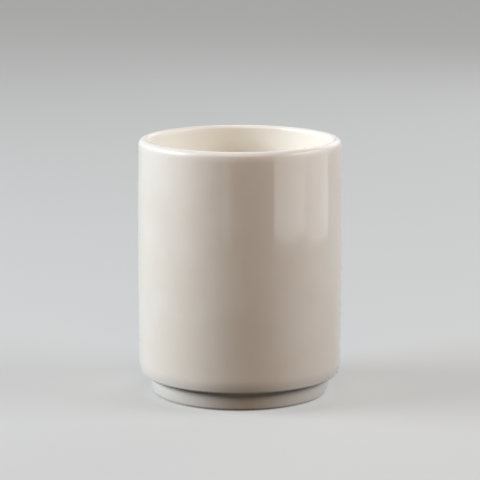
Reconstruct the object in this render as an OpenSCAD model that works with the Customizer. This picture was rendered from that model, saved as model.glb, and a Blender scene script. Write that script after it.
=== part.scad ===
// Sake cup with a stepped foot: a straight porcelain beaker, luted to a foot ring and glazed.
// Every piece is turned about the Z axis, and the cup stands on the plane z = 0.
// Outlines are lists of [radius, height] points. "Outside" and "inside" are the glazed surfaces,
// and the bisque, the fired clay under the glaze, lies one glaze thickness beneath them.

/* [Cup] */
// Height from the standing edge to the crown of the lip
cup_h = 70.5; // [60:0.5:84]
// Widest diameter of the glazed body, at its belly
body_d = 56; // [50:0.5:64]
// Height of the belly above the standing edge
belly_h = 33; // [26:0.5:44]
// Radius of the upright curve that gives the wall its faint belly
belly_r = 1900; // [1000:50:4000]

/* [Lip] */
// Radius of the slow curve that draws the wall in below the lip
lip_curve_r = 10; // [6:0.5:16]
// Angle through which that slow curve turns
lip_turn = 11; // [6:1:16]
// Round on the outside of the lip
lip_out_r = 1.5; // [1.2:0.05:2]
// Round on the inside of the lip
lip_in_r = 0.95; // [0.7:0.05:1.4]

/* [Inside] */
// Distance from the belly in to the inside wall, measured at the floor's round
wall_low_t = 3.3; // [2.8:0.1:4]
// Thickness of the floor at its middle, glaze included
floor_t = 3.6; // [3:0.1:6]
// Round between the inside wall and the floor
inner_round = 6.5; // [4:0.5:12]
// Radius of the shallow dish of the inside floor
dish_r = 150; // [80:10:400]

/* [Shoulder] */
// Radius of the slow curve that draws the wall in above the foot
shoulder_r = 10.6; // [7:0.2:15]
// Angle through which that slow curve turns
shoulder_turn = 18; // [10:1:24]
// Round on the lower edge of the body
edge_r = 0.75; // [0.6:0.05:1.1]

/* [Foot] */
// Height of the step from the standing edge to the underside of the body
foot_h = 5.6; // [4.5:0.1:8]
// How far the top of the foot is set in from the belly
foot_step = 3.2; // [3:0.1:5]
// Width of the foot ring, from its outside to the well inside it
foot_w = 4.8; // [4:0.1:7]
// Radius of the upright curve of the foot's side
foot_bow_r = 18; // [12:1:60]
// Round on the outside of the standing edge
foot_out_r = 1.35; // [1:0.05:1.8]
// Round on the inside of the standing edge
foot_in_r = 1; // [0.8:0.05:1.4]

/* [Glaze and slip] */
// Thickness of the glaze
glaze_t = 0.35; // [0.2:0.05:0.45]
// Height of the band above the standing edge that is wiped clean of glaze
bare_h = 0.4; // [0.2:0.05:0.5]
// Round of the glaze that pools in the corners at the top of the foot
pool_r = 0.6; // [0.4:0.05:0.9]
// Thickness of the slip that lutes the foot ring on
slip_t = 0.3; // [0.2:0.05:0.4]
// Depth of the seat cut for the foot ring in the underside of the body
seat_depth = 0.6; // [0.5:0.05:0.9]

/* [Hidden] */
// Straight steps round the axis, in a shown round, in a round of the clay, and along a slow curve
$fn = 180;
round_steps = 16;
clay_steps = 6;
curve_steps = 8;

bisque_colour = "#EFEAE1";
slip_colour = "#DDD6C8";
glaze_colour = "#EAE3D6";

// Lip: a slow curve touches the wall's curve and ends on the outer round, and both rounds end at the crown
belly_cr = body_d / 2 - belly_r;
lip_out_z = cup_h - lip_out_r;
lip_in_z = cup_h - lip_in_r;
lip_curve_z = lip_out_z - (lip_curve_r - lip_out_r) * sin(lip_turn);
lip_lean = wall_lean(lip_curve_r, lip_curve_z);
lip_curve_cr = belly_cr + (belly_r - lip_curve_r) * cos(lip_lean);
crown_r = lip_curve_cr + (lip_curve_r - lip_out_r) * cos(lip_turn);

// Shoulder: the slow curve touches the wall's curve and ends on the lower edge's round
shoulder_z = foot_h + edge_r * (1 - sin(shoulder_turn)) + shoulder_r * sin(shoulder_turn);
shoulder_lean = wall_lean(shoulder_r, shoulder_z);
shoulder_cr = belly_cr + (belly_r - shoulder_r) * cos(shoulder_lean);
edge_cr = shoulder_cr + (shoulder_r - edge_r) * cos(shoulder_turn);
edge_cz = foot_h + edge_r;

// Inside: the floor's dish touches its round, and a straight wall touches that round and the lip's
floor_z = foot_h + floor_t;
dish_cz = floor_z + dish_r;
round_cr = body_d / 2 - wall_low_t - inner_round;
round_cz = dish_cz - sqrt(pow(dish_r - inner_round, 2) - pow(round_cr, 2));
dish_turn = asin(round_cr / (dish_r - inner_round));
inside_run = [crown_r - round_cr, lip_in_z - round_cz];
inside_lean = asin((inner_round + lip_in_r) / norm(inside_run)) - atan2(inside_run[0], inside_run[1]);

// Foot: the centre of its side's curve lies level with the underside of the body
foot_r = body_d / 2 - foot_step;
foot_cr = foot_r - foot_bow_r;
well_r = foot_r - foot_w;
pool_turn = asin(pool_r / (foot_bow_r + pool_r));
pool_cr = foot_cr + (foot_bow_r + pool_r) * cos(pool_turn);
pool_cz = foot_h - pool_r;

// Bisque joint: the ring's top stands in a seat, with slip over it and on both sides
underside_z = foot_h + glaze_t;
seat_z = underside_z + seat_depth;
ring_top_z = seat_z - slip_t;
ring_out_r = foot_r - glaze_t;
ring_in_r = well_r + glaze_t;
seat_out_r = ring_out_r + slip_t;
seat_in_r = ring_in_r - slip_t;

// Angle at which a round of radius r, with its centre at height z, touches the wall's curve from within
function wall_lean(r, z) = asin((z - belly_h) / (belly_r - r));

// Arc about c from angle a to angle b, where 0 points away from the axis and 90 points up
function arc(c, r, a, b, steps = round_steps) =
    [for (i = [0 : steps]) let (w = a + (b - a) * i / steps) c + r * [cos(w), sin(w)]];

// Steps in a round at depth t: the shown surface is finer than the clay under it
function steps_at(t) = t == 0 ? round_steps : clay_steps;

// A path without its first point, to join it to a path that ends there, and a path turned round
function rest(path) = [for (i = [1 : len(path) - 1]) path[i]];
function back(path) = [for (i = [len(path) - 1 : -1 : 0]) path[i]];

// Angle at which a round of radius r that stands on z = 0 reaches the top of the bare band
function bare_angle(r) = asin((bare_h - r) / r);

// Outside of the body at depth t, from the crown of the lip down to the underside
function body_outside(t) = concat(
    arc([crown_r, lip_out_z], lip_out_r - t, 90, lip_turn, steps_at(t)),
    rest(arc([lip_curve_cr, lip_curve_z], lip_curve_r - t, lip_turn, lip_lean, curve_steps)),
    rest(arc([belly_cr, belly_h], belly_r - t, lip_lean, shoulder_lean, curve_steps)),
    rest(arc([shoulder_cr, shoulder_z], shoulder_r - t, shoulder_lean, -shoulder_turn, steps_at(t))),
    rest(arc([edge_cr, edge_cz], edge_r - t, -shoulder_turn, -90, steps_at(t))));

// Inside of the cup at depth t, from the crown of the lip down to the middle of the floor
function cup_inside(t) = concat(
    arc([crown_r, lip_in_z], lip_in_r - t, 90, 180 + inside_lean, steps_at(t)),
    arc([round_cr, round_cz], inner_round + t, inside_lean, dish_turn - 90, steps_at(t)),
    rest(arc([0, dish_cz], dish_r + t, dish_turn - 90, -90, curve_steps)));

// Outer lower round of the foot at depth t: its radius, the angle where it meets the side, and its centre
function toe_r(t) = foot_out_r - t;
function toe_lean(t) = asin((foot_h - toe_r(t)) / (foot_bow_r - foot_out_r));
function toe_c(t) = [foot_cr + (foot_bow_r - foot_out_r) * cos(toe_lean(t)), toe_r(t)];

// Inner lower round of the foot at depth t: its radius and its centre
function heel_r(t) = foot_in_r - t;
function heel_c(t) = [well_r + foot_in_r, heel_r(t)];

// Side of the foot at depth t, from angle a on its curve down to the bare band
function foot_outside(t, a) = concat(
    arc([foot_cr, foot_h], foot_bow_r - t, a, -toe_lean(t), curve_steps),
    rest(arc(toe_c(t), toe_r(t), -toe_lean(t), bare_angle(toe_r(t)), steps_at(t))));

// Inside of the foot at depth t, from the wall of the well down to the bare band
function foot_inside(t) = arc(heel_c(t), heel_r(t), 180, 180 - bare_angle(heel_r(t)), steps_at(t));

// Bare standing edge at depth t, from the end of the outer glaze round to the end of the well's glaze
function standing_edge(t) = concat(
    arc(toe_c(t), toe_r(t), bare_angle(toe_r(t)), -90, steps_at(t)),
    arc(heel_c(t), heel_r(t), 270, 180 - bare_angle(heel_r(t)), steps_at(t)));

// Fired clay shell: wall, floor and lip, with the seat for the ring in its underside
module cup_body() {
    color(bisque_colour) rotate_extrude() polygon(concat(
        body_outside(glaze_t),
        [[seat_out_r, underside_z], [seat_out_r, seat_z]],
        [[seat_in_r, seat_z], [seat_in_r, underside_z], [0, underside_z]],
        back(rest(cup_inside(glaze_t)))));
}

// Fired clay ring: its flat lower face is the edge that the cup stands on
module foot_ring() {
    color(bisque_colour) rotate_extrude() polygon(concat(
        [[ring_in_r, ring_top_z], [ring_out_r, ring_top_z]],
        foot_outside(glaze_t, 0),
        rest(standing_edge(glaze_t)),
        rest(back(foot_inside(glaze_t)))));
}

// Slip that fills the seat round the top of the ring
module luting_slip() {
    color(slip_colour) rotate_extrude() polygon([
        [ring_out_r, underside_z], [seat_out_r, underside_z], [seat_out_r, seat_z],
        [seat_in_r, seat_z], [seat_in_r, underside_z], [ring_in_r, underside_z],
        [ring_in_r, ring_top_z], [ring_out_r, ring_top_z]]);
}

// Glaze poured into the cup: it lines the floor and the wall up to the crown of the lip
module liner_glaze() {
    color(glaze_colour) rotate_extrude() polygon(concat(cup_inside(0), back(cup_inside(glaze_t))));
}

// Glaze the cup is dipped in: from the crown down the wall, under the shoulder and down the foot
module outer_glaze() {
    color(glaze_colour) rotate_extrude() polygon(concat(
        body_outside(0),
        arc([pool_cr, pool_cz], pool_r, 90, 180 - pool_turn),
        rest(foot_outside(0, -pool_turn)),
        back(foot_outside(glaze_t, 0)),
        [[ring_out_r, underside_z]],
        back(body_outside(glaze_t))));
}

// Glaze in the well under the cup: over the underside of the floor and down the ring's inner wall
module foot_well_glaze() {
    color(glaze_colour) rotate_extrude() polygon(concat(
        [[0, underside_z], [0, foot_h]],
        arc([well_r - pool_r, foot_h - pool_r], pool_r, 90, 0),
        foot_inside(0),
        back(foot_inside(glaze_t)),
        [[ring_in_r, underside_z]]));
}

cup_body();
foot_ring();
luting_slip();
liner_glaze();
outer_glaze();
foot_well_glaze();
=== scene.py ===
"""A glazed porcelain sake cup with a stepped foot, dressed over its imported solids.

The glaze coats and the bare foot ring are turned surfaces that stand for the solids in the same place.
The clay under the glaze keeps its solids. Lengths are metres, heights start at the standing edge, and an
outline is an array of points, step by turn by [radius, height].
"""

import math
from typing import NamedTuple

import bpy
import numpy as np
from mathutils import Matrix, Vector


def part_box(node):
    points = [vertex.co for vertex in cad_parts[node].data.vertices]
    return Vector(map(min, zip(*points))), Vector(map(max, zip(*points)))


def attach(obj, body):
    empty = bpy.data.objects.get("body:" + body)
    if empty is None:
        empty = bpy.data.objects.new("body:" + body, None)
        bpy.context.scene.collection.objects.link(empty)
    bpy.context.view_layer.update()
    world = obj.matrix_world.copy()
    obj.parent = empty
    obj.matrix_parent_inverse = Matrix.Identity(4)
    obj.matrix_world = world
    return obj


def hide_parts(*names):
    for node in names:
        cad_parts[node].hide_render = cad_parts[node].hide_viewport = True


bl_info = {
    "name": "Glazed Sake Cup",
    "version": (1, 0, 0),
    "blender": (4, 5, 0),
    "location": "View3D > Sidebar > Sake Cup",
    "description": "Makes the glaze, the bare foot and the studio stage of a porcelain sake cup",
    "category": "Add Mesh",
}

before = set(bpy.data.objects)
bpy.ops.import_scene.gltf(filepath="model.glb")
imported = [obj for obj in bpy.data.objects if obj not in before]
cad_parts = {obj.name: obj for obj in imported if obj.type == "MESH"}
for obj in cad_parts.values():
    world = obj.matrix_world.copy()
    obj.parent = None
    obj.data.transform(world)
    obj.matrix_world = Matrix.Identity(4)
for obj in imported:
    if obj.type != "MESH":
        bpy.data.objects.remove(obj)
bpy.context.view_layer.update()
BODY = "root"
MM = 0.001

# Sizes that the solids give
OUTER_LOW, OUTER_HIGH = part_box("outer_glaze")
LINER_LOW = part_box("liner_glaze")[0]
WELL_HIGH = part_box("foot_well_glaze")[1]
CLAY_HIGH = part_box("cup_body")[1]
RING_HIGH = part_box("foot_ring")[1]
GLAZE = OUTER_HIGH.x - CLAY_HIGH.x

# Steps of the turned surfaces: round the axis, in a round, along a slow curve, and in a hidden round
AROUND = 288
ROUND_STEPS = 20
SLOW_STEPS = 44
HIDDEN_STEPS = 8
TURNS = np.arange(AROUND) * 2 * np.pi / AROUND

# Directions on an outline, as angles about a centre
OUT, UP, IN, DOWN = 0, math.pi / 2, math.pi, -math.pi / 2

# Angle past which two faces meet in a sharp corner
CORNER = math.radians(40)

# A point nearer than this to the axis lies on it, and two points nearer than this are one
NEAR = 1e-9

# Attribute that says how the glaze lies
DEPTH = "glaze_depth"

# Waves of the wiped edge round the foot: the share of each, how many go round, and the angle they start at
WIPED_WAVES = ((0.6, 3, 0.7), (0.4, 8, 2.1))

# Angles at which the lobes of the fired cup start: two and three in the radius, and three in the height
TWO_LOBES_AT, THREE_LOBES_AT, LIP_LOBES_AT = 0.6, 2.0, 1.1

# Size of the three lobes in the radius and in the height, as shares of the two
THREE_LOBES_SHARE, LIP_SHARE = 0.5, 0.5

# How far the turning rings tilt, as an angle of their wave
RING_TILT = 0.8

# Real sizes of the patterns: clouds, haze and ripple in the glaze, and its iron specks and their spacing
CLOUD = 14 * MM
HAZE = 22 * MM
RIPPLE = 2.6 * MM
RIPPLE_HEIGHT = 0.006 * MM
SPECK = 0.22 * MM
SPECK_PITCH = 8 * MM

# Real sizes of the patterns in the clay: blush, grain and turning lines. The grain of porcelain is too fine
# to show, so it is drawn as coarse as sand.
BLUSH = 9 * MM
GRAIN = 0.35 * MM
GRAIN_HEIGHT = 0.02 * MM
TURNING_PITCH = 0.6 * MM
TURNING_HEIGHT = 0.012 * MM

# Period of the wave texture at scale 1, and how much the turning lines wander and how finely
WAVE_UNIT = 2 * math.pi / 20
LINE_WANDER, LINE_WANDER_SCALE = 0.6, 0.4

# Lie of the glaze, in bend per millimetre, at which it starts to pool, thin or dry, and does so in full
POOL_FROM, POOL_FULL = 0.04, 0.7
THIN_FROM, THIN_FULL = -0.1, -0.7
DRY_FROM, DRY_FULL = -0.03, -0.4

# Roughness: of the glaze, least, most and where it is dry, of the bare clay, least and most, and of the slip
GLOSS_LEAST, GLOSS_MOST, GLOSS_DRY = 0.06, 0.1, 0.36
BARE_LEAST, BARE_MOST = 0.75, 0.92
SLIP_ROUGH = 0.9

# Index of refraction of the glaze and of the clay
GLAZE_IOR, CLAY_IOR = 1.52, 1.5

# Noise at which a cloud starts and is full, and the same for haze and grain
CLOUD_FROM, CLOUD_FULL = 0.38, 0.62
NOISE_FROM, NOISE_FULL = 0.3, 0.7

# Share of a speck's radius that is dark right through
SPECK_HEART = 0.4

# Random draw of a grain of iron at which it starts to burn through, and does so in full
BURN_FROM, BURN_FULL = 0.72, 0.98

# Share of the blush at the standing edge and beside the glaze
BLUSH_LOW, BLUSH_HIGH = 0.15, 0.9

# Half the width of the floor, and its height, a hair under the standing edge
FLOOR = 4
FLOOR_Z = -0.02 * MM

# Share of the floor's paleness that is its own, and so is even
EVEN_SHARE = 0.55

# The photograph's frame and the camera's sensor, for a focal length given in pixels
FRAME_PIXELS = 480
SENSOR_MM = 36


def linear(code):
    """Linear red, green and blue of an sRGB hex code."""
    srgb = np.array([int(code[i:i + 2], 16) for i in (0, 2, 4)]) / 255
    return tuple(np.where(srgb <= 0.04045, srgb / 12.92, ((srgb + 0.055) / 1.055) ** 2.4).tolist())


def length(name, description, default):
    """A length property in metres."""
    return bpy.props.FloatProperty(
        name=name, description=description, default=default, subtype="DISTANCE", unit="LENGTH", precision=5)


def angle(name, description, degrees):
    """An angle property, given in degrees and kept in radians."""
    return bpy.props.FloatProperty(
        name=name, description=description, default=math.radians(degrees), subtype="ANGLE", unit="ROTATION")


def power(name, description, watts):
    """A lamp's power property in watts."""
    return bpy.props.FloatProperty(name=name, description=description, default=watts, min=0, unit="POWER")


def colour(name, description, code):
    """A colour property whose default is an sRGB hex code."""
    return bpy.props.FloatVectorProperty(
        name=name, description=description, default=linear(code), subtype="COLOR", size=3, min=0, max=1)


class CupSizes(bpy.types.PropertyGroup):
    """Sizes of the glazed cup; those that a solid's box gives come from the imported solids."""

    height: length("Height", "From the standing edge to the crown of the lip", OUTER_HIGH.z)
    belly_radius: length("Belly radius", "Radius of the cup at its widest", OUTER_HIGH.x)
    belly_height: length("Belly height", "Height of the widest place", 33 * MM)
    belly_curve: length("Belly curve", "Radius of the upright curve of the wall", 1900 * MM)
    lip_curve: length("Lip curve", "Radius of the slow curve that draws the wall in below the lip", 10 * MM)
    lip_turn: angle("Lip turn", "How far in that slow curve turns", 11)
    lip_outside: length("Lip outside", "Round on the outside of the lip", 1.5 * MM)
    lip_inside: length("Lip inside", "Round on the inside of the lip", 0.95 * MM)
    low_radius: length("Low inside radius", "Inside radius at the floor's round", 24.7 * MM)
    floor_height: length("Floor height", "Height of the middle of the inside floor", LINER_LOW.z + GLAZE)
    floor_round: length("Floor round", "Round between the inside wall and the floor", 6.5 * MM)
    floor_dish: length("Floor dish", "Radius of the shallow dish of the floor", 150 * MM)
    shoulder_curve: length("Shoulder curve", "Radius of the slow curve above the foot", 10.6 * MM)
    shoulder_turn: angle("Shoulder turn", "How far down the slow curve turns", 18)
    edge_round: length("Edge round", "Round on the lower edge of the body", 0.75 * MM)
    foot_height: length("Foot height", "Height of the body's underside", WELL_HIGH.z - GLAZE)
    foot_radius: length("Foot radius", "Radius of the top of the foot", RING_HIGH.x + GLAZE)
    foot_bow: length("Foot bow", "Radius of the upright curve of the foot's side", 18 * MM)
    foot_outside: length("Foot outside", "Round on the outside of the standing edge", 1.35 * MM)
    foot_inside: length("Foot inside", "Round on the inside of the standing edge", 1 * MM)
    well_radius: length("Well radius", "Radius of the well inside the foot", 20 * MM)
    pool_round: length("Pool round", "Round of the glaze pooled at the top of the foot", 0.6 * MM)
    glaze: length("Glaze", "Thickness of the glaze", GLAZE)
    bare_height: length("Bare height", "Height of the band wiped clean of glaze", OUTER_LOW.z)
    wiped_wave: length("Wiped wave", "How far the wiped edge of the glaze wanders up and down", 0.06 * MM)
    out_of_round: length("Out of round", "How far the fired cup is out of round", 0.04 * MM)
    ripple: length("Ripple", "Height of the faint rings left by turning", 0.003 * MM)
    ripple_pitch: length("Ripple pitch", "Height from one of those rings to the next", 6.3 * MM)
    gather: length("Gather", "How far melted glaze draws away from an edge or into a corner", 0.9 * MM)


class CupFinish(bpy.types.PropertyGroup):
    """Colours of the fired surfaces."""

    even_glaze: colour("Even glaze", "Glaze of even thickness", "F2EADC")
    cloud_glaze: colour("Cloudy glaze", "Slightly warmer clouds in the glaze", "EFE6D6")
    # The liner is paler than the outer glaze partly because it is a separate pour and partly as painted
    # light: the extra paleness brightens the inside of the cup in place of light that fills it.
    even_liner: colour("Even liner", "Paler glaze that lines the cup, of even thickness", "F6F2E6")
    cloud_liner: colour("Cloudy liner", "Slightly warmer clouds in the liner glaze", "F4EEE1")
    thin_glaze: colour("Thin glaze", "Glaze drawn thin over an edge", "F4EFE5")
    pooled_glaze: colour("Pooled glaze", "Glaze gathered in a corner", "E4D8C3")
    speck: colour("Iron speck", "Iron burnt through the glaze", "8C7B64")
    bisque: colour("Bisque", "Bare fired clay", "EDE5D8")
    toasted: colour("Toasted bisque", "Bare clay toasted by the kiln", "DCC7A8")
    slip: colour("Slip", "Fired joining slip", "DDD5C6")
    slip_grain: colour("Slip grain", "Coarser grains in the slip", "CFC5B3")


class StudioStage(bpy.types.PropertyGroup):
    """Camera, lamps, floor and room."""

    focal_pixels: bpy.props.FloatProperty(
        name="Focal length", description="Focal length in pixels of the photograph", default=2288.2)
    pitch: angle("Pitch", "How far down the camera looks", 10.708)
    distance: length("Distance", "From the camera to the point that it looks at", 628.12 * MM)
    aim_height: length("Aim height", "Height of that point, which lies on the cup's axis", 42.214 * MM)
    floor: colour("Floor", "Pale matt floor", "D4D4D2")
    floor_bounce: colour("Floor bounce", "Colour that the floor throws back on the cup", "2E2720")
    room: colour("Room", "Pale room round the stage", "D6D6D4")
    room_light: colour("Room light", "Low light from all round", "100E0C")
    key: power("Key lamp", "Soft lamp on the left", 10.7)
    right: power("Right lamp", "Soft lamp on the right", 4.1)
    front: power("Front lamp", "Soft warm lamp in front", 1.55)
    back: power("Back lamp", "Soft lamp behind the cup on the right", 1.4)
    near_panel: power("Near panel", "Panel on the right that the glaze mirrors, the nearer of two", 0.12)
    far_panel: power("Far panel", "Panel on the right that the glaze mirrors, the farther of two", 0.072)
    strip_panel: power("Strip panel", "Narrow panel in front on the left that the glaze mirrors", 0.0064)


# Outlines

def spread(points):
    """The same outline at every turn."""
    points = np.asarray(points, float)
    return np.broadcast_to(points[:, None, :], (len(points), AROUND, 2))


def arc(centre, radius, start, end, steps=ROUND_STEPS):
    """Points centre + radius * (cos a, sin a), with a from start to end; end may differ at every turn.

    The steps follow half a cosine wave and crowd at both ends, so that curves that touch show no facet there.
    """
    share = (1 - np.cos(np.linspace(0, np.pi, steps + 1))) / 2
    turn = start + (np.asarray(end) - start) * share[:, None]
    points = np.stack([centre[0] + radius * np.cos(turn), centre[1] + radius * np.sin(turn)], axis=-1)
    return np.broadcast_to(points, (steps + 1, AROUND, 2))


def straight(first, last, steps):
    """Points at even steps from the point first to the point last, at every turn."""
    return first + (last - first) * np.linspace(0, 1, steps + 1)[:, None, None]


def join(*runs):
    """One outline from runs in order, without the point that a run repeats from the end of the one before."""
    kept = [runs[0]]
    for run in runs[1:]:
        kept.append(run[1:] if np.allclose(run[0], kept[-1][-1], atol=NEAR) else run)
    return np.concatenate(kept)


def wall_centre(cup):
    """Centre of the wall's large upright curve."""
    return cup.belly_radius - cup.belly_curve, cup.belly_height


def end_curves(cup, end_z, curve, turn, tip):
    """The two curves that end the wall, above at the lip or below at the shoulder: a slow one that touches
    the wall and turns so far up or down, and a tip's round that touches it and the level end_z. Gives the
    wall's lean where they touch, the centre of the slow curve and the centre of the tip's round."""
    inset = curve - tip
    tip_z = end_z - math.copysign(tip, turn)
    curve_z = tip_z - inset * math.sin(turn)
    lean = math.asin((curve_z - cup.belly_height) / (cup.belly_curve - curve))
    curve_r = wall_centre(cup)[0] + (cup.belly_curve - curve) * math.cos(lean)
    return lean, (curve_r, curve_z), (curve_r + inset * math.cos(turn), tip_z)


def lip_curves(cup):
    """The wall's end curves at the lip."""
    return end_curves(cup, cup.height, cup.lip_curve, cup.lip_turn, cup.lip_outside)


def crown_radius(cup):
    """Radius of the crown of the lip, which lies over the centre of the lip's outer round."""
    return lip_curves(cup)[2][0]


def body_outside(cup, depth, round_steps=ROUND_STEPS, slow_steps=SLOW_STEPS):
    """Outside of the body at a depth in the glaze: arcs that touch, for the lip, its slow curve, the wall,
    the shoulder and the lower edge."""
    lip_lean, lip_curve, lip = lip_curves(cup)
    drop = -cup.shoulder_turn
    low_lean, shoulder, edge = end_curves(cup, cup.foot_height, cup.shoulder_curve, drop, cup.edge_round)
    return join(
        arc(lip, cup.lip_outside - depth, UP, cup.lip_turn, round_steps),
        arc(lip_curve, cup.lip_curve - depth, cup.lip_turn, lip_lean, round_steps),
        arc(wall_centre(cup), cup.belly_curve - depth, lip_lean, low_lean, slow_steps),
        arc(shoulder, cup.shoulder_curve - depth, low_lean, drop, round_steps),
        arc(edge, cup.edge_round - depth, drop, DOWN, round_steps))


def cup_inside(cup, depth, round_steps=ROUND_STEPS, slow_steps=SLOW_STEPS):
    """Inside of the cup at a depth in the glaze: the lip's arc, a straight wall that touches it and the
    floor's round, that round, and the dish to the axis."""
    lip_z = cup.height - cup.lip_inside
    dish_z = cup.floor_height + cup.floor_dish
    round_r = cup.low_radius - cup.floor_round
    reach = cup.floor_dish - cup.floor_round
    round_z = dish_z - math.sqrt(reach ** 2 - round_r ** 2)
    dish_end = math.asin(round_r / reach) + DOWN
    run_r, run_z = crown_radius(cup) - round_r, lip_z - round_z
    lean = math.asin((cup.floor_round + cup.lip_inside) / math.hypot(run_r, run_z)) - math.atan2(run_r, run_z)
    lip = arc((crown_radius(cup), lip_z), cup.lip_inside - depth, UP, IN + lean, round_steps)
    turn = arc((round_r, round_z), cup.floor_round + depth, lean, dish_end, round_steps)
    dish = arc((0, dish_z), cup.floor_dish + depth, dish_end, DOWN, round_steps)
    return join(lip, straight(lip[-1], turn[0], slow_steps), turn, dish)


def wiped_edge(cup, radius):
    """Angle on a lower round of the foot where the glaze ends; the wiped line is a sum of two sine waves."""
    wave = sum(share * np.sin(count * TURNS + start) for share, count, start in WIPED_WAVES)
    return np.arcsin((cup.bare_height + cup.wiped_wave * wave - radius) / radius)


def foot_side(cup, depth, start, end=None, steps=ROUND_STEPS):
    """Side of the foot at a depth in the glaze: its bow from an angle, then its lower round to another angle,
    or to the wiped edge."""
    toe = cup.foot_outside - depth
    inset = cup.foot_bow - cup.foot_outside
    lean = math.asin((cup.foot_height - toe) / inset)
    bow_r = cup.foot_radius - cup.foot_bow
    end = wiped_edge(cup, toe) if end is None else end
    return join(
        arc((bow_r, cup.foot_height), cup.foot_bow - depth, start, -lean, steps),
        arc((bow_r + inset * math.cos(lean), toe), toe, -lean, end, steps))


def foot_inner_side(cup, depth, end=None, steps=ROUND_STEPS):
    """Lower round inside the foot at a depth in the glaze, from the well's wall to an angle, or to the
    wiped edge."""
    heel = cup.foot_inside - depth
    end = IN - wiped_edge(cup, heel) if end is None else end
    return arc((cup.well_radius + cup.foot_inside, heel), heel, IN, end, steps)


def bead(first, last):
    """Rolled edge of melted glaze: half a circle that hangs from the point first to the point last."""
    half = (first - last)[:, 0] / 2
    swing = np.linspace(0, np.pi, HIDDEN_STEPS + 1)[:, None]
    radius = last[:, 0] + half * (1 + np.cos(swing))
    height = first[:, 1] - np.abs(half) * np.sin(swing)
    return np.stack([radius, height], axis=-1)


def outer_shown(cup):
    """Shown outline of the outer glaze: body, the pool in the corner under it, and foot to the wiped edge."""
    pool = cup.pool_round
    turn = math.asin(pool / (cup.foot_bow + pool))
    pool_r = cup.foot_radius - cup.foot_bow + (cup.foot_bow + pool) * math.cos(turn)
    corner = arc((pool_r, cup.foot_height - pool), pool, UP, IN - turn)
    return join(body_outside(cup, 0), corner, foot_side(cup, 0, -turn))


def outer_coat(cup):
    """Outline of the glaze the cup was dipped in: shown side, rolled edge, and back up against the clay."""
    shown = outer_shown(cup)
    foot = foot_side(cup, cup.glaze, OUT, steps=HIDDEN_STEPS)[::-1]
    corner = spread([(cup.foot_radius - cup.glaze, cup.foot_height + cup.glaze)])
    body = body_outside(cup, cup.glaze, HIDDEN_STEPS, SLOW_STEPS // 2)[::-1]
    return join(shown, bead(shown[-1], foot[0]), foot, corner, body)


def liner_coat(cup):
    """Outline of the glaze poured into the cup: shown side from floor to crown, and back against the clay."""
    return join(cup_inside(cup, 0)[::-1], cup_inside(cup, cup.glaze, HIDDEN_STEPS, SLOW_STEPS // 2))


def well_shown(cup):
    """Shown outline of the glaze in the well: wall from the wiped edge, pooled corner, and underside of the
    floor."""
    pool_r = cup.well_radius - cup.pool_round
    corner = arc((pool_r, cup.foot_height - cup.pool_round), cup.pool_round, OUT, UP)
    under = straight(*spread([(pool_r, cup.foot_height), (0, cup.foot_height)]), SLOW_STEPS)
    return join(foot_inner_side(cup, 0)[::-1], corner, under)


def well_coat(cup):
    """Outline of the glaze in the well: out and down against the clay, rolled edge, and shown side."""
    shown = well_shown(cup)
    under_z = cup.foot_height + cup.glaze
    foot = foot_inner_side(cup, cup.glaze, steps=HIDDEN_STEPS)
    under = spread([(0, under_z), (cup.well_radius + cup.glaze, under_z)])
    return join(under, foot, bead(foot[-1], shown[0]), shown)


def bare_ring(cup):
    """Outline of the foot's clay ring: side, flat standing edge between its rounds, inner wall and top."""
    outer, inner = cup.foot_radius - cup.glaze, cup.well_radius + cup.glaze
    side = foot_side(cup, cup.glaze, OUT, DOWN)
    inner_side = foot_inner_side(cup, cup.glaze, IN + UP)[::-1]
    return join(spread([(outer, RING_HIGH.z)]), side, inner_side, spread([(inner, RING_HIGH.z)]))


def by_hand(cup, outline):
    """Unevenness of a turned and fired cup, the same on every coat: two and three lobes and faint turning
    rings added to the radius, and three lobes added to the height, all as sine waves. They grow with the
    height and with the square of the radius, and the lobes in the height with its fourth power as well, so
    that they show at the lip."""
    radius, height = outline[..., 0], outline[..., 1]
    rise = np.clip(height / cup.height, 0, 1)
    reach = np.clip(radius / cup.belly_radius, 0, 1) ** 2 * rise
    lobes = np.cos(2 * TURNS + TWO_LOBES_AT) + THREE_LOBES_SHARE * rise * np.cos(3 * TURNS + THREE_LOBES_AT)
    rings = np.sin(2 * np.pi * height / cup.ripple_pitch + RING_TILT * np.sin(TURNS))
    swell = cup.out_of_round * lobes + cup.ripple * rings
    lift = LIP_SHARE * cup.out_of_round * rise ** 4 * np.cos(3 * TURNS + LIP_LOBES_AT)
    return np.stack([radius + reach * swell, height + reach * lift], axis=-1)


def gathered(cup, outline):
    """How melted glaze lies along a shown outline that runs with the cup on its right: below 0 where it draws
    thin over an edge, above 0 where it pools in a corner. It is the bend of the outline per millimetre,
    spread along it by a bell curve."""
    path = outline.mean(axis=1)
    step = np.diff(path, axis=0)
    along = np.concatenate([[0], np.cumsum(np.hypot(step[:, 0], step[:, 1]))])
    bend = np.diff(np.unwrap(np.arctan2(step[:, 1], step[:, 0])), prepend=0, append=0)
    bend[[0, -1]] = 0
    bell = np.exp(-0.5 * ((along[:, None] - along) / cup.gather) ** 2)
    return bell @ bend * MM / (cup.gather * math.sqrt(2 * math.pi))


# Meshes

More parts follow.
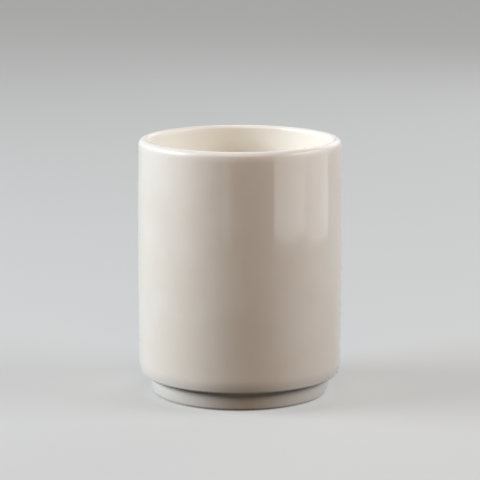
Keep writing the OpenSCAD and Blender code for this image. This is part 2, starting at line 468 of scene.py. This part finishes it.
def turned_piece(name, outline, looks, stands_for, depth=None):
    """Mesh of an outline carried round the axis: x = r cos t, y = r sin t, z = h, with faces outwards.

    Rings of points are joined by quads. An end on the axis is one vertex with a fan of triangles, and an
    outline that keeps off the axis is a loop. Outlines run with the solid on their right. depth says how the
    glaze lies along the outline and becomes the attribute that the glaze reads.
    """
    on_axis = outline[:, 0, 0] < NEAR
    rings = outline[~on_axis]
    radius, height = rings[..., 0], rings[..., 1]
    points = np.stack([radius * np.cos(TURNS), radius * np.sin(TURNS), height], axis=-1)
    poles = outline[on_axis][:, 0, [0, 0, 1]]
    last = (len(rings) - 1) * AROUND
    ring = np.arange(len(rings) - int(on_axis.any()))[:, None] * AROUND
    after = (ring + AROUND) % (last + AROUND)
    here = np.arange(AROUND)
    there = np.roll(here, -1)
    quads = np.stack([ring + here, after + here, after + there, ring + there], axis=-1).reshape(-1, 4)
    faces = quads.tolist()
    for pole, row in enumerate(np.flatnonzero(on_axis)):
        edge = (here, there) if row == 0 else (last + there, last + here)
        faces += np.stack([np.full(AROUND, last + AROUND + pole), *edge], axis=-1).tolist()
    mesh = bpy.data.meshes.new(name)
    mesh.from_pydata(np.concatenate([points.reshape(-1, 3), poles]).tolist(), [], faces)
    mesh.shade_smooth()
    mesh.set_sharp_from_angle(angle=CORNER)
    if depth is not None:
        values = np.concatenate([np.repeat(depth[~on_axis], AROUND), depth[on_axis]])
        mesh.attributes.new(DEPTH, "FLOAT", "POINT").data.foreach_set("value", values)
    mesh.materials.append(looks)
    piece = bpy.data.objects.new(name, mesh)
    bpy.context.scene.collection.objects.link(piece)
    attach(piece, BODY)
    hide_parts(stands_for)


# Materials

def node(tree, kind, inputs=(), **settings):
    """Adds a node, sets its settings, and fills its inputs: a socket is linked, and a value is set."""
    made = tree.nodes.new(kind)
    for key, value in settings.items():
        setattr(made, key, value)
    for key, value in dict(inputs).items():
        if isinstance(value, bpy.types.NodeSocket):
            tree.links.new(value, made.inputs[key])
        else:
            made.inputs[key].default_value = value
    return made


def material(name):
    """A new material, its node tree without nodes, and the Object coordinates that its patterns read."""
    made = bpy.data.materials.new(name)
    made.use_nodes = True
    made.node_tree.nodes.clear()
    return made, made.node_tree, node(made.node_tree, "ShaderNodeTexCoord").outputs["Object"]


def opaque(shade):
    """A colour with full alpha, as a colour socket takes it."""
    return (*shade, 1)


def gloss_fired_glaze(name, even_shade, cloud_shade, finish):
    """Ivory feldspar glaze, dipped or poured and gloss fired over white porcelain."""
    # A melt settles to a deep even gloss with a slow ripple and faint clouds. It is paler and drier where it
    # draws thin over the lip and the edges, and warmer where it pools. A few grains of iron have burnt
    # through.
    looks, tree, place = material(name)
    lie = node(tree, "ShaderNodeAttribute", attribute_name=DEPTH).outputs["Fac"]
    clouds = node(tree, "ShaderNodeTexNoise", {
        "Vector": place, "Scale": 1 / CLOUD, "Detail": 3}).outputs["Fac"]
    cloudy = node(tree, "ShaderNodeMapRange", {0: clouds, 1: CLOUD_FROM, 2: CLOUD_FULL}).outputs[0]
    even = node(tree, "ShaderNodeMix", {
        0: cloudy, 6: opaque(even_shade), 7: opaque(cloud_shade)}, data_type="RGBA").outputs[2]
    pooling = node(tree, "ShaderNodeMapRange", {0: lie, 1: POOL_FROM, 2: POOL_FULL}).outputs[0]
    pooled = node(tree, "ShaderNodeMix", {
        0: pooling, 6: even, 7: opaque(finish.pooled_glaze)}, data_type="RGBA").outputs[2]
    thinning = node(tree, "ShaderNodeMapRange", {0: lie, 1: THIN_FROM, 2: THIN_FULL}).outputs[0]
    thin = node(tree, "ShaderNodeMix", {
        0: thinning, 6: pooled, 7: opaque(finish.thin_glaze)}, data_type="RGBA").outputs[2]
    grains = node(tree, "ShaderNodeTexVoronoi", {"Vector": place, "Scale": 1 / SPECK_PITCH})
    reach = SPECK / SPECK_PITCH
    size = node(tree, "ShaderNodeMapRange", {
        0: grains.outputs["Distance"], 1: SPECK_HEART * reach, 2: reach, 3: 1, 4: 0}).outputs[0]
    draw = node(tree, "ShaderNodeSeparateColor", {0: grains.outputs["Color"]}).outputs[0]
    chosen = node(tree, "ShaderNodeMapRange", {0: draw, 1: BURN_FROM, 2: BURN_FULL}).outputs[0]
    burnt = node(tree, "ShaderNodeMath", {0: size, 1: chosen}, operation="MULTIPLY").outputs[0]
    specked = node(tree, "ShaderNodeMix", {
        0: burnt, 6: thin, 7: opaque(finish.speck)}, data_type="RGBA").outputs[2]
    haze = node(tree, "ShaderNodeTexNoise", {
        "Vector": place, "Scale": 1 / HAZE, "Detail": 2}).outputs["Fac"]
    gloss = node(tree, "ShaderNodeMapRange", {
        0: haze, 1: NOISE_FROM, 2: NOISE_FULL, 3: GLOSS_LEAST, 4: GLOSS_MOST}).outputs[0]
    dry = node(tree, "ShaderNodeMapRange", {
        0: lie, 1: DRY_FROM, 2: DRY_FULL, 3: gloss, 4: GLOSS_DRY}).outputs[0]
    melt = node(tree, "ShaderNodeTexNoise", {
        "Vector": place, "Scale": 1 / RIPPLE, "Detail": 1}).outputs["Fac"]
    surface = node(tree, "ShaderNodeBump", {
        "Strength": 1, "Distance": RIPPLE_HEIGHT, "Height": melt}).outputs[0]
    shader = node(tree, "ShaderNodeBsdfPrincipled", {
        "Base Color": specked, "Roughness": dry, "IOR": GLAZE_IOR, "Normal": surface})
    node(tree, "ShaderNodeOutputMaterial", {0: shader.outputs[0]})
    return looks


def fired_bisque(finish):
    """White porcelain, turned on the wheel and fired without glaze."""
    # Bare clay is dry and matt, with a sandy grain, fine turning lines, and a toasted blush beside the glaze.
    looks, tree, place = material("turned_and_fired_bisque")
    blush = node(tree, "ShaderNodeTexNoise", {
        "Vector": place, "Scale": 1 / BLUSH, "Detail": 4}).outputs["Fac"]
    height = node(tree, "ShaderNodeSeparateXYZ", {0: place}).outputs["Z"]
    near = node(tree, "ShaderNodeMapRange", {
        0: height, 1: 0, 2: OUTER_LOW.z, 3: BLUSH_LOW, 4: BLUSH_HIGH}).outputs[0]
    toasting = node(tree, "ShaderNodeMath", {0: blush, 1: near}, operation="MULTIPLY").outputs[0]
    toasted = node(tree, "ShaderNodeMix", {
        0: toasting, 6: opaque(finish.bisque), 7: opaque(finish.toasted)}, data_type="RGBA").outputs[2]
    grain = node(tree, "ShaderNodeTexNoise", {
        "Vector": place, "Scale": 1 / GRAIN, "Detail": 3}).outputs["Fac"]
    lines = node(tree, "ShaderNodeTexWave", {
        "Vector": place, "Scale": WAVE_UNIT / TURNING_PITCH,
        "Distortion": LINE_WANDER, "Detail Scale": LINE_WANDER_SCALE},
        wave_type="RINGS", rings_direction="Z").outputs["Fac"]
    dry = node(tree, "ShaderNodeMapRange", {
        0: grain, 1: NOISE_FROM, 2: NOISE_FULL, 3: BARE_LEAST, 4: BARE_MOST}).outputs[0]
    sanded = node(tree, "ShaderNodeBump", {
        "Strength": 1, "Distance": GRAIN_HEIGHT, "Height": grain}).outputs[0]
    turned = node(tree, "ShaderNodeBump", {
        "Strength": 1, "Distance": TURNING_HEIGHT, "Height": lines, "Normal": sanded}).outputs[0]
    shader = node(tree, "ShaderNodeBsdfPrincipled", {
        "Base Color": toasted, "Roughness": dry, "IOR": CLAY_IOR, "Normal": turned})
    node(tree, "ShaderNodeOutputMaterial", {0: shader.outputs[0]})
    return looks


def fired_slip(finish):
    """Porcelain slip, brushed into the joint and fired with the clay."""
    # Slip shrinks more than the clay, so it is a little duller and coarser, with small pits.
    looks, tree, place = material("brushed_and_fired_slip")
    grain = node(tree, "ShaderNodeTexNoise", {
        "Vector": place, "Scale": 1 / GRAIN, "Detail": 4}).outputs["Fac"]
    mottled = node(tree, "ShaderNodeMix", {
        0: grain, 6: opaque(finish.slip), 7: opaque(finish.slip_grain)}, data_type="RGBA").outputs[2]
    pits = node(tree, "ShaderNodeBump", {
        "Strength": 1, "Distance": GRAIN_HEIGHT, "Height": grain}).outputs[0]
    shader = node(tree, "ShaderNodeBsdfPrincipled", {
        "Base Color": mottled, "Roughness": SLIP_ROUGH, "IOR": CLAY_IOR, "Normal": pits})
    node(tree, "ShaderNodeOutputMaterial", {0: shader.outputs[0]})
    return looks


def pale_view(tree):
    """Share of a ray that sees the stage as the camera does: camera, glossy and see-through rays."""
    rays = node(tree, "ShaderNodeLightPath").outputs
    seen = node(tree, "ShaderNodeMath", {
        0: rays["Is Camera Ray"], 1: rays["Is Glossy Ray"]}, operation="MAXIMUM").outputs[0]
    return node(tree, "ShaderNodeMath", {
        0: seen, 1: rays["Is Transmission Ray"]}, operation="MAXIMUM").outputs[0]


def matt_paper(stage):
    """Pale matt paper under the cup. Part of its paleness is its own, so that it stays even away from the
    lamps, and what it throws back on the cup is toned down."""
    looks, tree, _ = material("matt_paper_floor")
    seen = pale_view(tree)
    shade = node(tree, "ShaderNodeMix", {
        0: seen, 6: opaque(stage.floor_bounce), 7: opaque(stage.floor)}, data_type="RGBA").outputs[2]
    lit = node(tree, "ShaderNodeBsdfDiffuse", {"Color": shade})
    even = node(tree, "ShaderNodeEmission", {"Color": opaque(stage.floor), "Strength": 1})
    share = node(tree, "ShaderNodeMath", {0: seen, 1: EVEN_SHARE}, operation="MULTIPLY").outputs[0]
    shader = node(tree, "ShaderNodeMixShader", {0: share, 1: lit.outputs[0], 2: even.outputs[0]})
    node(tree, "ShaderNodeOutputMaterial", {0: shader.outputs[0]})
    return looks


# Operators

class SAKECUP_OT_clay(bpy.types.Operator):
    """Make the bare foot ring and finish the clay under the glaze"""

    bl_idname = "sake_cup.clay"
    bl_label = "Clay"

    def execute(self, context):
        cup, finish = context.scene.sake_cup_sizes, context.scene.sake_cup_finish
        bisque = fired_bisque(finish)
        turned_piece("bare_foot_ring", by_hand(cup, bare_ring(cup)), bisque, "foot_ring")
        for name, looks in {"cup_body": bisque, "luting_slip": fired_slip(finish)}.items():
            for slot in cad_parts[name].material_slots:
                slot.material = looks
        return {"FINISHED"}


class SAKECUP_OT_glaze(bpy.types.Operator):
    """Make the glaze outside the cup, inside it and in the well of its foot"""

    bl_idname = "sake_cup.glaze"
    bl_label = "Glaze"

    def execute(self, context):
        cup, finish = context.scene.sake_cup_sizes, context.scene.sake_cup_finish
        dipped = gloss_fired_glaze("gloss_fired_ivory_glaze", finish.even_glaze, finish.cloud_glaze, finish)
        # The liner's paler colours are partly painted light that brightens the inside of the cup.
        poured = gloss_fired_glaze("gloss_fired_liner_glaze", finish.even_liner, finish.cloud_liner, finish)
        inside = cup_inside(cup, 0)[::-1]
        lie = gathered(cup, join(inside, outer_shown(cup)))
        well_lie = gathered(cup, well_shown(cup))
        coats = {
            "outer_glaze": (dipped, outer_coat(cup), lie[len(inside) - 1:], False),
            "liner_glaze": (poured, liner_coat(cup), lie[:len(inside)], False),
            "foot_well_glaze": (dipped, well_coat(cup), well_lie, True),
        }
        for name, (looks, outline, shown_lie, shown_last) in coats.items():
            hidden = len(outline) - len(shown_lie)
            depth = np.pad(shown_lie, (hidden, 0) if shown_last else (0, hidden), mode="edge")
            turned_piece(f"{name}_coat", by_hand(cup, outline), looks, name, depth)
        return {"FINISHED"}


class SoftLamp(NamedTuple):
    """A soft lamp aimed at the cup. Its angles are in degrees, and its bearing is 0 at the camera and grows
    to the right. A lamp that is only mirrored shows in gloss and gives no light to matt surfaces."""

    name: str
    shape: str
    bearing: float
    elevation: float
    distance: float
    width: float
    height: float
    tint: str
    only_mirrored: bool = False


SOFT_LAMPS = (
    SoftLamp("key", "ELLIPSE", -84, 25, 0.9, 0.65, 0.38, "E8F2FF"),
    SoftLamp("right", "ELLIPSE", 80, 28, 0.75, 0.5, 0.4, "F3F6FF"),
    SoftLamp("front", "ELLIPSE", 0, 42, 0.9, 0.5, 0.5, "FFCE93"),
    SoftLamp("back", "ELLIPSE", 150, 27, 0.8, 0.6, 0.4, "F8FAFF"),
    SoftLamp("near_panel", "RECTANGLE", 55, 4.94, 0.248, 0.171, 0.1145, "F8FAFF", True),
    SoftLamp("far_panel", "RECTANGLE", 93, 4.53, 0.248, 0.171, 0.118, "F8FAFF", True),
    SoftLamp("strip_panel", "RECTANGLE", -14.2, 4.94, 0.248, 0.038, 0.1145, "F8FAFF", True),
)


class SAKECUP_OT_stage(bpy.types.Operator):
    """Make the floor, the room, the lamps and the camera"""

    bl_idname = "sake_cup.stage"
    bl_label = "Stage"

    def execute(self, context):
        scene = context.scene
        stage = scene.sake_cup_stage
        aim = Vector((0, 0, stage.aim_height))

        corners = ((-FLOOR, -FLOOR), (FLOOR, -FLOOR), (FLOOR, FLOOR), (-FLOOR, FLOOR))
        mesh = bpy.data.meshes.new("floor")
        mesh.from_pydata([(*corner, FLOOR_Z) for corner in corners], [], [(0, 1, 2, 3)])
        mesh.materials.append(matt_paper(stage))
        floor = bpy.data.objects.new("floor", mesh)
        scene.collection.objects.link(floor)

        for lamp in SOFT_LAMPS:
            light = bpy.data.lights.new(lamp.name, "AREA")
            light.shape = lamp.shape
            light.size, light.size_y = lamp.width, lamp.height
            light.energy = getattr(stage, lamp.name)
            light.color = linear(lamp.tint)
            bearing, elevation = math.radians(lamp.bearing), math.radians(lamp.elevation)
            level = math.cos(elevation)
            away = Vector((math.sin(bearing) * level, -math.cos(bearing) * level, math.sin(elevation)))
            lit = bpy.data.objects.new(lamp.name, light)
            lit.location = aim + away * lamp.distance
            lit.rotation_euler = away.to_track_quat("Z", "Y").to_euler()
            lit.visible_camera = False
            lit.visible_diffuse = not lamp.only_mirrored
            scene.collection.objects.link(lit)

        scene.world = bpy.data.worlds.new("room")
        scene.world.use_nodes = True
        tree = scene.world.node_tree
        tree.nodes.clear()
        seen = pale_view(tree)
        shade = node(tree, "ShaderNodeMix", {
            0: seen, 6: opaque(stage.room_light), 7: opaque(stage.room)}, data_type="RGBA").outputs[2]
        room = node(tree, "ShaderNodeBackground", {"Color": shade, "Strength": 1})
        node(tree, "ShaderNodeOutputWorld", {0: room.outputs[0]})

        lens = bpy.data.cameras.new("camera")
        lens.sensor_width = SENSOR_MM
        lens.lens = stage.focal_pixels * SENSOR_MM / FRAME_PIXELS
        camera = bpy.data.objects.new("camera", lens)
        camera.location = aim + stage.distance * Vector((0, -math.cos(stage.pitch), math.sin(stage.pitch)))
        camera.rotation_euler = (UP - stage.pitch, 0, 0)
        scene.collection.objects.link(camera)
        scene.camera = camera
        scene.view_settings.view_transform = "Standard"
        return {"FINISHED"}


class SAKECUP_PT_panel(bpy.types.Panel):
    """The cup's pieces, sizes, colours and stage"""

    bl_idname = "SAKECUP_PT_panel"
    bl_label = "Sake Cup"
    bl_space_type = "VIEW_3D"
    bl_region_type = "UI"
    bl_category = "Sake Cup"

    def draw(self, context):
        for operator in OPERATORS:
            self.layout.operator(operator.bl_idname)
        for name in GROUPS:
            group = getattr(context.scene, name)
            box = self.layout.box()
            for key in group.__annotations__:
                box.prop(group, key)


OPERATORS = (SAKECUP_OT_clay, SAKECUP_OT_glaze, SAKECUP_OT_stage)
GROUPS = {"sake_cup_sizes": CupSizes, "sake_cup_finish": CupFinish, "sake_cup_stage": StudioStage}
CLASSES = (*GROUPS.values(), *OPERATORS, SAKECUP_PT_panel)


def register():
    """Registers the classes and gives the scene its settings."""
    for cls in CLASSES:
        bpy.utils.register_class(cls)
    for name, group in GROUPS.items():
        setattr(bpy.types.Scene, name, bpy.props.PointerProperty(type=group))


def unregister():
    """Takes away the scene's settings and the classes."""
    for name in GROUPS:
        delattr(bpy.types.Scene, name)
    for cls in reversed(CLASSES):
        bpy.utils.unregister_class(cls)


def main():
    """Makes the pieces and the stage."""
    register()
    bpy.ops.sake_cup.clay()
    bpy.ops.sake_cup.glaze()
    bpy.ops.sake_cup.stage()


if __name__ == "__main__":
    main()
